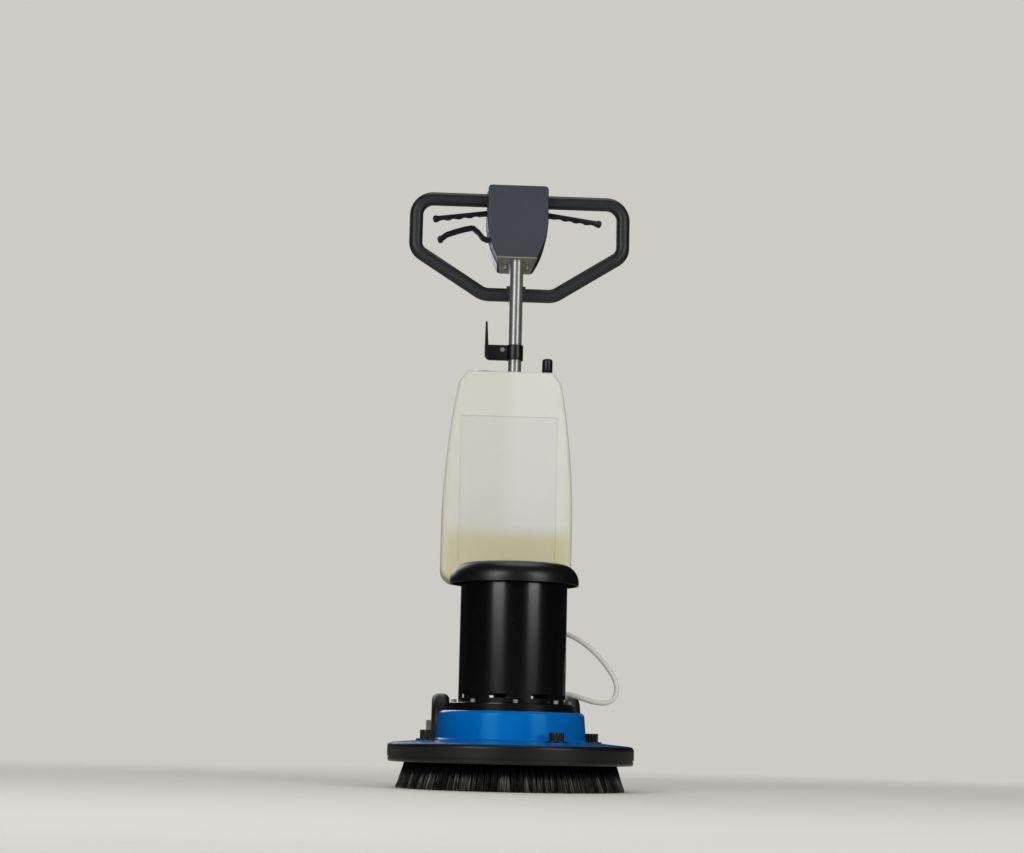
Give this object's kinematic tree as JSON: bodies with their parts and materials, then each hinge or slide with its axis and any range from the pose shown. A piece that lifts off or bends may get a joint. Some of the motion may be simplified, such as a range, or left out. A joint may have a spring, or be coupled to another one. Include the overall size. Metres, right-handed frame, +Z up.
{
  "type": "single-disc floor machine",
  "caption": "Upright single-disc floor scrubbing and polishing machine with a vertical motor, round brush deck, solution tank on a tilting pole, and a loop handle.",
  "frame": {"origin": "on the floor under the motor shaft's axis", "axes": "+Z up along the motor shaft, +Y towards the operator who stands behind the machine, +X to the machine's side that carries the solution hose"},
  "size_m": [0.4748, 0.5691, 1.2445],
  "materials": {
    "drum_paint": "gloss blue stove enamel",
    "black_enamel": "gloss black enamel",
    "handle_coat": "satin charcoal powder coat",
    "bumper_rubber": "soft matt black rubber",
    "bristle_fibre": "dark stiff bristle with grey-brown ends",
    "block_board": "coarse black moulding",
    "gloss_moulding": "glossy black moulding",
    "slate_moulding": "fine grained slate moulding",
    "black_moulding": "satin black moulding",
    "hub_moulding": "grey moulding",
    "tank_poly": "milky translucent polyethylene",
    "hose_pvc": "clear flexible tube",
    "pole_chrome": "bright chrome plate",
    "zinc_steel": "bright zinc plate",
    "plate_steel": "brushed plate",
    "machined_steel": "machined steel",
    "cast_aluminium": "as cast",
    "core_steel": "stacked laminations",
    "winding_copper": "enamelled copper wire",
    "seal_rubber": "black nitrile",
    "tyre_rubber": "worn black rubber"
  },
  "bodies": {
    "root": {"deck_housing": "drum_paint", "bumper_ring": "bumper_rubber", "deck_knobs": "black_moulding", "motor_flange": "black_enamel", "deck_bolts": "zinc_steel", "gear_case": "cast_aluminium", "ring_gear": "machined_steel", "output_bearing": "machined_steel", "oil_seal": "seal_rubber", "motor_can": "black_enamel", "stator_core": "core_steel", "stator_windings": "winding_copper", "motor_bearings": "machined_steel", "upper_end_bell": "cast_aluminium", "motor_cap": "gloss_moulding", "axle_bracket": "black_enamel", "pivot_pin": "zinc_steel", "lock_quadrant": "zinc_steel", "wheel_axle": "zinc_steel", "axle_nuts": "zinc_steel", "hose_inlet": "black_moulding", "solution_hose": "hose_pvc"},
    "brush": {"brush_bristles": "bristle_fibre", "brush_block": "block_board", "clutch_plate": "black_moulding", "drive_hub": "cast_aluminium", "output_carrier": "machined_steel"},
    "planet_1": {"planet_gear_1": "machined_steel"},
    "planet_2": {"planet_gear_2": "machined_steel"},
    "planet_3": {"planet_gear_3": "machined_steel"},
    "rotor": {"rotor_shaft": "machined_steel", "rotor_core": "core_steel", "cooling_fan": "black_moulding"},
    "left_wheel": {"left_wheel_hub": "hub_moulding", "left_wheel_tyre": "tyre_rubber"},
    "right_wheel": {"right_wheel_hub": "hub_moulding", "right_wheel_tyre": "tyre_rubber"},
    "handle": {"pole_fork": "black_enamel", "handle_pole": "pole_chrome", "handle_loop": "handle_coat", "loop_saddle": "handle_coat", "box_cover": "slate_moulding", "box_shell": "gloss_moulding", "box_base_plate": "plate_steel", "cord_glands": "zinc_steel", "handle_screws": "zinc_steel", "switch_block": "black_moulding", "run_capacitor": "cast_aluminium", "lever_pins": "machined_steel", "solution_tank": "tank_poly", "tank_brackets": "zinc_steel", "tank_valve": "black_moulding", "cable_hook": "black_moulding"},
    "left_switch": {"left_switch_lever": "black_moulding"},
    "right_switch": {"right_switch_lever": "black_moulding"},
    "release": {"release_lever": "black_moulding"},
    "lock": {"lock_rod": "zinc_steel"},
    "filler": {"filler_cap": "black_moulding"},
    "valve": {"valve_rod": "machined_steel", "valve_knob": "black_moulding"}
  },
  "joints": [
    {"name": "brush_spin", "type": "hinge", "parent": "root", "child": "brush", "pos_m": [0, 0, 0.05], "axis": [0, 0, 1], "continuous": true},
    {"name": "rotor_spin", "type": "hinge", "parent": "root", "child": "rotor", "pos_m": [0, 0, 0.25], "axis": [0, 0, 1], "continuous": true},
    {"name": "planet_1_spin", "type": "hinge", "parent": "brush", "child": "planet_1", "pos_m": [0.045, 0, 0.118], "axis": [0, 0, 1], "continuous": true},
    {"name": "planet_2_spin", "type": "hinge", "parent": "brush", "child": "planet_2", "pos_m": [-0.0225, 0.03897, 0.118], "axis": [0, 0, 1], "continuous": true},
    {"name": "planet_3_spin", "type": "hinge", "parent": "brush", "child": "planet_3", "pos_m": [-0.0225, -0.03897, 0.118], "axis": [0, 0, 1], "continuous": true},
    {"name": "handle_tilt", "type": "hinge", "parent": "root", "child": "handle", "pos_m": [0, 0.213, 0.14], "axis": [-1, 0, 0], "range_deg": [0, 65]},
    {"name": "left_switch_pull", "type": "hinge", "parent": "handle", "child": "left_switch", "pos_m": [-0.046, 0.235, 1.1925], "axis": [0, 1, 0], "range_deg": [0, 7], "stiffness_Nm_per_rad": 2, "springref_deg": -5.73},
    {"name": "right_switch_pull", "type": "hinge", "parent": "handle", "child": "right_switch", "pos_m": [0.046, 0.235, 1.1925], "axis": [0, -1, 0], "range_deg": [0, 7], "stiffness_Nm_per_rad": 2, "springref_deg": -5.73},
    {"name": "release_pull", "type": "hinge", "parent": "handle", "child": "release", "pos_m": [0.034, 0.213, 1.1275], "axis": [0, 1, 0], "range_deg": [0, 5.5], "stiffness_Nm_per_rad": 12, "springref_deg": -11.46},
    {"name": "lock_lift", "type": "slide", "parent": "handle", "child": "lock", "axis": [0, 0, 1], "range_m": [0, 0.0034]},
    {"name": "left_wheel_spin", "type": "hinge", "parent": "root", "child": "left_wheel", "pos_m": [-0.133, 0.268, 0.12], "axis": [1, 0, 0], "continuous": true},
    {"name": "right_wheel_spin", "type": "hinge", "parent": "root", "child": "right_wheel", "pos_m": [0.133, 0.268, 0.12], "axis": [1, 0, 0], "continuous": true},
    {"name": "filler_cap_lift", "type": "slide", "parent": "handle", "child": "filler", "axis": [0, 0, 1], "range_m": [0, 0.025]},
    {"name": "valve_lift", "type": "slide", "parent": "handle", "child": "valve", "axis": [0, 0, 1], "range_m": [0, 0.015]}
  ],
  "couplings": [
    {"joint": "rotor_spin", "follows": "brush_spin", "ratio": 8},
    {"joint": "planet_1_spin", "follows": "brush_spin", "ratio": -2.3333},
    {"joint": "planet_2_spin", "follows": "brush_spin", "ratio": -2.3333},
    {"joint": "planet_3_spin", "follows": "brush_spin", "ratio": -2.3333},
    {"joint": "lock_lift", "follows": "release_pull", "m_per_rad": 0.034}
  ]
}
